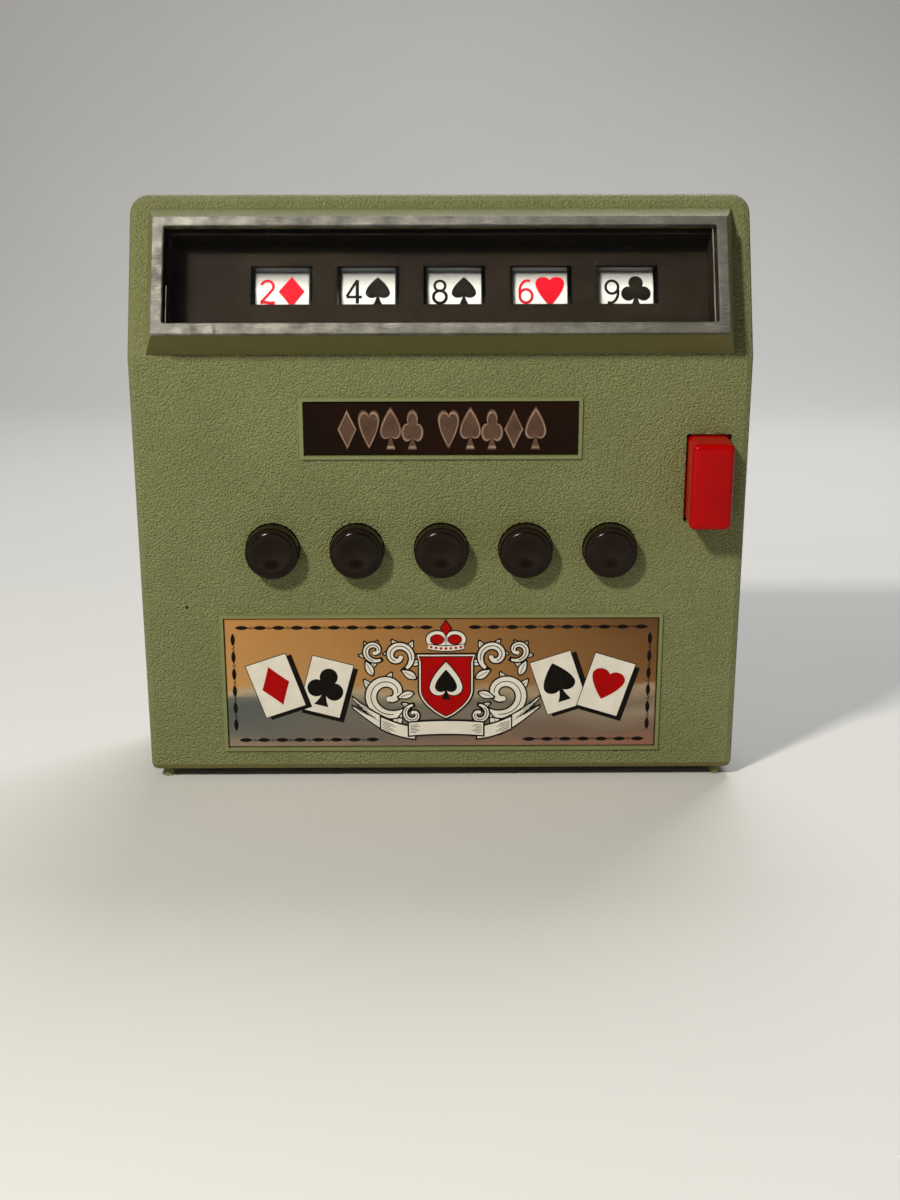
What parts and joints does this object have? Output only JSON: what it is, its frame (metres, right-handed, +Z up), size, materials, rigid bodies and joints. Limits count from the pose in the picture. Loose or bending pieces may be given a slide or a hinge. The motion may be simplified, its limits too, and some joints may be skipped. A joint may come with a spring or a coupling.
{
  "type": "tabletop draw poker machine",
  "caption": "Wedge-shaped tabletop draw-poker machine: card reels behind a hooded window, a row of hold buttons and a red start bar.",
  "frame": {"origin": "centre of the footprint at the bottom of the four feet", "axes": "+X to the player's right along the row of buttons, +Y from the front face into the case, +Z up"},
  "size_m": [0.168, 0.084, 0.165],
  "materials": {
    "green_case": "fine leather grain, satin",
    "bezel": "brushed, worn",
    "lens": "clear acrylic, light scratches",
    "mask": "dark brown, fine grain",
    "nameplate": "dark brown with bronze relief",
    "foil": "gold foil, printed",
    "red_bar": "polished",
    "button": "polished",
    "reel_drum": "satin",
    "card_strip": "printed, satin",
    "steel": "bright",
    "zinc": "zinc plated, dull",
    "nylon": "satin",
    "belt": "matt",
    "black_plastic": "satin",
    "cell": "printed jacket, gloss",
    "brass": "bright",
    "red_wire": "gloss insulation",
    "black_wire": "gloss insulation"
  },
  "bodies": {
    "case": {"front_case": "green_case", "rear_cover": "green_case", "bezel_frame": "bezel", "window_lens": "lens", "reel_mask": "mask", "nameplate": "nameplate", "emblem_plate": "foil", "start_bar_spring": "steel", "start_switch": "black_plastic", "idler_axle": "steel", "motor": "steel", "drive_belt": "belt", "frame_side_left": "zinc", "frame_side_right": "zinc", "frame_tie_bar": "steel", "lever_rod": "steel", "guide_plate": "zinc", "battery_tray": "black_plastic", "battery_1": "cell", "battery_2": "cell", "contact_spring": "brass", "contact_plate": "brass", "wire_cell_to_switch": "red_wire", "wire_switch_to_motor": "red_wire", "wire_motor_to_cell": "black_wire", "cover_screw_1": "steel", "cover_screw_2": "steel", "cover_screw_3": "steel", "cover_screw_4": "steel", "button_spring_1": "steel", "button_spring_2": "steel", "button_spring_3": "steel", "button_spring_4": "steel", "button_spring_5": "steel"},
    "drive_shaft": {"reel_shaft": "steel", "shaft_gear": "nylon"},
    "idler": {"idler_pulley": "nylon"},
    "motor_rotor": {"motor_pulley": "brass"},
    "start_bar": {"start_bar": "red_bar"},
    "battery_door": {"battery_door": "green_case"},
    "reel_1": {"reel_1": "reel_drum", "card_strip_1": "card_strip"},
    "hold_button_1": {"hold_button_1": "button"},
    "hold_lever_1": {"hold_lever_1": "zinc"},
    "reel_2": {"reel_2": "reel_drum", "card_strip_2": "card_strip"},
    "hold_button_2": {"hold_button_2": "button"},
    "hold_lever_2": {"hold_lever_2": "zinc"},
    "reel_3": {"reel_3": "reel_drum", "card_strip_3": "card_strip"},
    "hold_button_3": {"hold_button_3": "button"},
    "hold_lever_3": {"hold_lever_3": "zinc"},
    "reel_4": {"reel_4": "reel_drum", "card_strip_4": "card_strip"},
    "hold_button_4": {"hold_button_4": "button"},
    "hold_lever_4": {"hold_lever_4": "zinc"},
    "reel_5": {"reel_5": "reel_drum", "card_strip_5": "card_strip"},
    "hold_button_5": {"hold_button_5": "button"},
    "hold_lever_5": {"hold_lever_5": "zinc"}
  },
  "joints": [
    {"name": "reel_1_spin", "type": "hinge", "parent": "case", "child": "reel_1", "pos_m": [-0.04292, 0.00071, 0.13116], "axis": [1, 0, 0], "continuous": true},
    {"name": "reel_2_spin", "type": "hinge", "parent": "case", "child": "reel_2", "pos_m": [-0.01956, 0.00071, 0.13116], "axis": [1, 0, 0], "continuous": true},
    {"name": "reel_3_spin", "type": "hinge", "parent": "case", "child": "reel_3", "pos_m": [0.0038, 0.00071, 0.13116], "axis": [1, 0, 0], "continuous": true},
    {"name": "reel_4_spin", "type": "hinge", "parent": "case", "child": "reel_4", "pos_m": [0.02716, 0.00071, 0.13116], "axis": [1, 0, 0], "continuous": true},
    {"name": "reel_5_spin", "type": "hinge", "parent": "case", "child": "reel_5", "pos_m": [0.05052, 0.00071, 0.13116], "axis": [1, 0, 0], "continuous": true},
    {"name": "shaft_spin", "type": "hinge", "parent": "case", "child": "drive_shaft", "pos_m": [0, 0.00071, 0.13116], "axis": [1, 0, 0], "continuous": true},
    {"name": "idler_spin", "type": "hinge", "parent": "case", "child": "idler", "pos_m": [-0.068, 0.00822, 0.1081], "axis": [1, 0, 0], "continuous": true},
    {"name": "motor_spin", "type": "hinge", "parent": "case", "child": "motor_rotor", "pos_m": [-0.068, 0.02387, 0.06], "axis": [1, 0, 0], "continuous": true},
    {"name": "button_1_press", "type": "slide", "parent": "case", "child": "hold_button_1", "axis": [0, 0.9891, 0.1469], "range_m": [0, 0.003], "stiffness_N_per_m": 200, "springref_m": -0.003, "deforming": ["button_spring_1"]},
    {"name": "button_2_press", "type": "slide", "parent": "case", "child": "hold_button_2", "axis": [0, 0.9891, 0.1469], "range_m": [0, 0.003], "stiffness_N_per_m": 200, "springref_m": -0.003, "deforming": ["button_spring_2"]},
    {"name": "button_3_press", "type": "slide", "parent": "case", "child": "hold_button_3", "axis": [0, 0.9891, 0.1469], "range_m": [0, 0.003], "stiffness_N_per_m": 200, "springref_m": -0.003, "deforming": ["button_spring_3"]},
    {"name": "button_4_press", "type": "slide", "parent": "case", "child": "hold_button_4", "axis": [0, 0.9891, 0.1469], "range_m": [0, 0.003], "stiffness_N_per_m": 200, "springref_m": -0.003, "deforming": ["button_spring_4"]},
    {"name": "button_5_press", "type": "slide", "parent": "case", "child": "hold_button_5", "axis": [0, 0.9891, 0.1469], "range_m": [0, 0.003], "stiffness_N_per_m": 200, "springref_m": -0.003, "deforming": ["button_spring_5"]},
    {"name": "lever_1_rock", "type": "hinge", "parent": "case", "child": "hold_lever_1", "pos_m": [-0.04672, 0.0159, 0.10506], "axis": [1, 0, 0], "range_deg": [0, 6]},
    {"name": "lever_2_rock", "type": "hinge", "parent": "case", "child": "hold_lever_2", "pos_m": [-0.02336, 0.0159, 0.10506], "axis": [1, 0, 0], "range_deg": [0, 6]},
    {"name": "lever_3_rock", "type": "hinge", "parent": "case", "child": "hold_lever_3", "pos_m": [0, 0.0159, 0.10506], "axis": [1, 0, 0], "range_deg": [0, 6]},
    {"name": "lever_4_rock", "type": "hinge", "parent": "case", "child": "hold_lever_4", "pos_m": [0.02336, 0.0159, 0.10506], "axis": [1, 0, 0], "range_deg": [0, 6]},
    {"name": "lever_5_rock", "type": "hinge", "parent": "case", "child": "hold_lever_5", "pos_m": [0.04672, 0.0159, 0.10506], "axis": [1, 0, 0], "range_deg": [0, 6]},
    {"name": "start_bar_press", "type": "slide", "parent": "case", "child": "start_bar", "axis": [0, 0.9891, 0.1469], "range_m": [0, 0.0055], "stiffness_N_per_m": 250, "springref_m": -0.003, "deforming": ["start_bar_spring"]},
    {"name": "battery_door_hinge", "type": "hinge", "parent": "case", "child": "battery_door", "pos_m": [0, 0.04087, 0.0096], "axis": [-1, 0, 0], "range_deg": [0, 90]}
  ],
  "couplings": [
    {"joint": "idler_spin", "follows": "shaft_spin", "ratio": -3},
    {"joint": "motor_spin", "follows": "shaft_spin", "ratio": -12},
    {"joint": "lever_1_rock", "follows": "button_1_press", "rad_per_m": 32.527},
    {"joint": "lever_2_rock", "follows": "button_2_press", "rad_per_m": 32.527},
    {"joint": "lever_3_rock", "follows": "button_3_press", "rad_per_m": 32.527},
    {"joint": "lever_4_rock", "follows": "button_4_press", "rad_per_m": 32.527},
    {"joint": "lever_5_rock", "follows": "button_5_press", "rad_per_m": 32.527}
  ]
}
